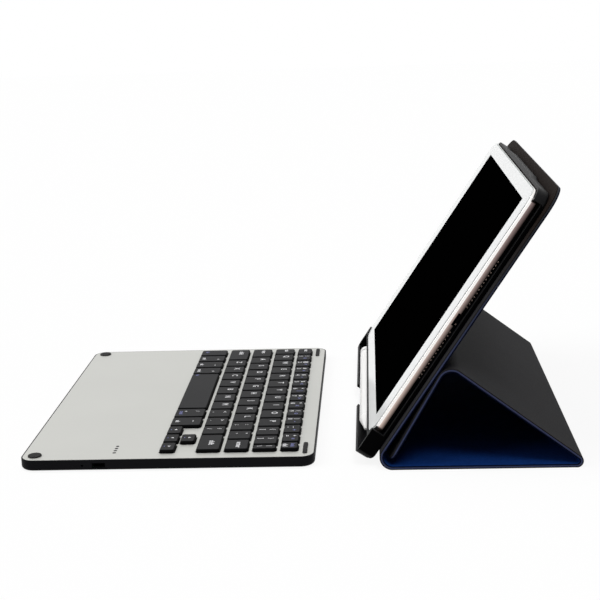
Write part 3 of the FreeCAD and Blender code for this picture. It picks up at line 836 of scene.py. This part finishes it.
# Painted shade: the lining's cut edges wear a much darker copy of its blue.
lining_cut, surface, place = finish("lining_cut")
ends = place.noise(2600.0)
set_surface(surface, Base_Color=ends.mix((0.0012, 0.0022, 0.009, 1), (0.0022, 0.0042, 0.016, 1)),
            Roughness=0.9, Specular_IOR_Level=0.03)


cut_slope = 0.8


def cut_sides(sheet, is_cut):
    """The lining's cut edges, painted darker than its napped face as shade."""
    wear(sheet, lining, lining_cut)
    for face in sheet.data.polygons:
        face.material_index = 1 if is_cut(face.normal) else 0


climb = Vector((0, -math.cos(math.radians(rear_turn)), math.sin(math.radians(rear_turn))))
rear_length = (apex - rear_fold).dot(climb)
panels = (
    ("back", 0.0, back_length, spine_inner, (0.0, back_corner), back_turn, spine),
    ("base", 0.0, base_length, 0.0, (0.0, 0.0), 180.0, Vector((0, rear_fold.y, cover_thick))),
    ("rear", -rear_length, 0.0, rear_inner, (0.0, 0.0), -rear_turn, rear_fold),
    ("flap", -flap_length, 0.0, apex_inner, (flap_corner, 0.0), flap_turn, apex),
)
skins = {}
for panel, low, high, inner, corners, angle, centre in panels:
    body = "stand" if panel == "base" else panel
    outside = skin(panel + "_outside", low, high, inner + lining_thick + core_thick, leather_thick, corners,
                   inner + cover_thick, angle, centre)
    inside = skin(panel + "_inside", low, high, inner, lining_thick, corners, inner, angle, centre)
    wear(outside, leather)
    flat = Vector((0, -math.sin(math.radians(angle)), math.cos(math.radians(angle))))
    cut_sides(inside, lambda normal: abs(normal.dot(flat)) < cut_slope)
    for sheet, slot in ((outside, "leather"), (inside, "lining")):
        smooth(sheet)
        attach(sheet, body)
        skins[sheet.name] = (sheet, high - low, panel + "_board")
    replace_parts(outside, panel + "_leather")
    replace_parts(inside, panel + "_lining")


# Cover bends: between two boards the leather and lining run on, glued to a strip of slate-blue core,
# and roll round the bend. Their sides are set in by a hair, so that the panels' cut edges close over them
# where the cover opens flat.

set_in = 0.00006


def bend(node, centre, inner, start, end):
    """The three layers of a bend, spun from one panel's end to the next: those that go with the panel's
    outer sheet, and the one that goes with its inner sheet."""

    def rim(radius, angle):
        turn = math.radians(angle)
        return centre + radius * Vector((0, math.cos(turn), math.sin(turn)))

    layers = []
    for layer, depth, thickness, material, slot in (
            ("inside", inner, lining_thick, lining, "lining"),
            ("core", inner + lining_thick, core_thick, edge_slate, "stiffener"),
            ("outside", inner + lining_thick + core_thick, leather_thick, leather, "leather")):
        bpy.ops.object.select_all(action="DESELECT")
        bpy.ops.mesh.primitive_plane_add(size=1)
        strip = bpy.context.active_object
        strip.scale = (2 * (side - set_in), thickness, 1)
        strip.location = (0, depth + thickness / 2, 0)
        settle(strip, node + "_" + layer)
        strip.rotation_euler = (math.radians(start), 0, 0)
        strip.location = centre
        settle(strip, node + "_" + layer)
        bpy.ops.object.mode_set(mode="EDIT")
        bpy.ops.mesh.select_all(action="SELECT")
        bpy.ops.mesh.spin(steps=24, angle=math.radians(start - end), center=centre, axis=(1, 0, 0))
        bpy.ops.mesh.select_all(action="SELECT")
        bpy.ops.mesh.remove_doubles(threshold=0.000001)
        bpy.ops.mesh.normals_make_consistent(inside=False)
        bpy.ops.object.mode_set(mode="OBJECT")
        if material is lining:
            cut_sides(strip, lambda normal: abs(normal.x) > cut_slope)
        else:
            wear(strip, material)
        smooth(strip)
        rim(depth, start)
        rim(depth, end)
        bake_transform(strip)
        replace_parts(strip, node)
        layers.append(strip)
    return {"inside": layers[:1], "outside": layers[1:]}


bends = {
    "base": bend("spine_bend", spine, spine_inner, 270.0, 90.0 + back_turn),
    "rear": bend("rear_bend", rear_fold, rear_inner, -90.0, 90.0 - rear_turn),
    "flap": bend("apex_bend", apex, apex_inner, 90.0 - rear_turn, 90.0 + flap_turn),
}
for name, (sheet, length, board) in skins.items():
    panel, face = name.split("_")
    bends[panel][face] if panel in bends else []


# Stage: a white floor under soft studio light from overhead, the front and the right, where seen rays
# meet plain white and the light that the floor and the room throw back stays low. The case is seen from
# its right side, a little above the table.

def seen_share(tree):
    """1 for what is looked at, straight or by reflection, and 0 for the light that is thrown back."""
    path = Socket(tree, None)
    rays = [path.node("LightPath", output="Is " + kind + " Ray")
            for kind in ("Camera", "Glossy", "Transmission")]
    return path.maths("MINIMUM", rays[0] + rays[1] + rays[2], 1.0)


bpy.ops.object.select_all(action="DESELECT")
bpy.ops.mesh.primitive_plane_add(size=8.0)
floor = bpy.context.active_object
floor.name = "floor"
floor_white = bpy.data.materials.new("floor_white")
floor_white.use_nodes = True
tree = floor_white.node_tree
tree.nodes.remove(tree.nodes["Principled BSDF"])
seen = seen_share(tree)
glow_share = 0.88
paint = seen.node("BsdfDiffuse", None, {"Color": seen.mix((0.4, 0.4, 0.4, 1), (0.95, 0.95, 0.95, 1))})
glow = seen.node("Emission", None, {"Color": (1, 1, 1, 1), "Strength": 1.0})
both = seen.node("MixShader", None, {"Fac": glow_share * seen, "Shader": paint, "Shader_001": glow})
tree.links.new(both.link, tree.nodes["Material Output"].inputs["Surface"])
wear(floor, floor_white)

world = bpy.data.worlds.new("studio")
bpy.context.scene.world = world
world.use_nodes = True
tree = world.node_tree
seen = seen_share(tree)
rise = seen.maths("MAXIMUM", seen.node("TexCoord", output="Generated").rise(), 0.0)
overhead_power = 4.0
strength = seen + (1 - seen) * seen.maths("POWER", rise, overhead_power)
tree.links.new(strength.link, tree.nodes["Background"].inputs["Strength"])
tree.nodes["Background"].inputs["Color"].default_value = (1, 1, 1, 1)

for name, spot, spread, strength in (
        ("overhead", (0.1, -0.35, 1.0), 45.0, 0.35),
        ("front", (0.15, -1.0, 0.75), 50.0, 1.35),
        ("side", (1.0, 0.45, 2.25), 20.0, 1.1)):
    lamp = bpy.data.lights.new(name, "SUN")
    lamp.angle = math.radians(spread)
    lamp.energy = strength
    lamp_object = bpy.data.objects.new(name, lamp)
    bpy.context.scene.collection.objects.link(lamp_object)
    lamp_object.rotation_euler = Vector(spot).to_track_quat("Z", "Y").to_euler()

camera = bpy.data.objects.new("camera", bpy.data.cameras.new("camera"))
bpy.context.scene.collection.objects.link(camera)
camera.data.sensor_width = 36.0
camera.data.lens = 82.12
camera_spot = (0.92053, 0.04831, 0.28835)
yaw, pitch, roll = math.radians(-3.1293), math.radians(12.9597), math.radians(-1.9342)
ahead = Vector((-math.cos(yaw) * math.cos(pitch), math.sin(yaw) * math.cos(pitch), -math.sin(pitch)))
right = Vector((math.sin(yaw), math.cos(yaw), 0))
up = right.cross(ahead)
rolled_right = right * math.cos(roll) + up * math.sin(roll)
rolled_up = up * math.cos(roll) - right * math.sin(roll)
camera_turn = Matrix((rolled_right, rolled_up, -ahead)).transposed().to_4x4()
camera.matrix_world = Matrix.Translation(camera_spot) @ camera_turn
bpy.context.scene.camera = camera
bpy.context.scene.view_settings.view_transform = "Standard"
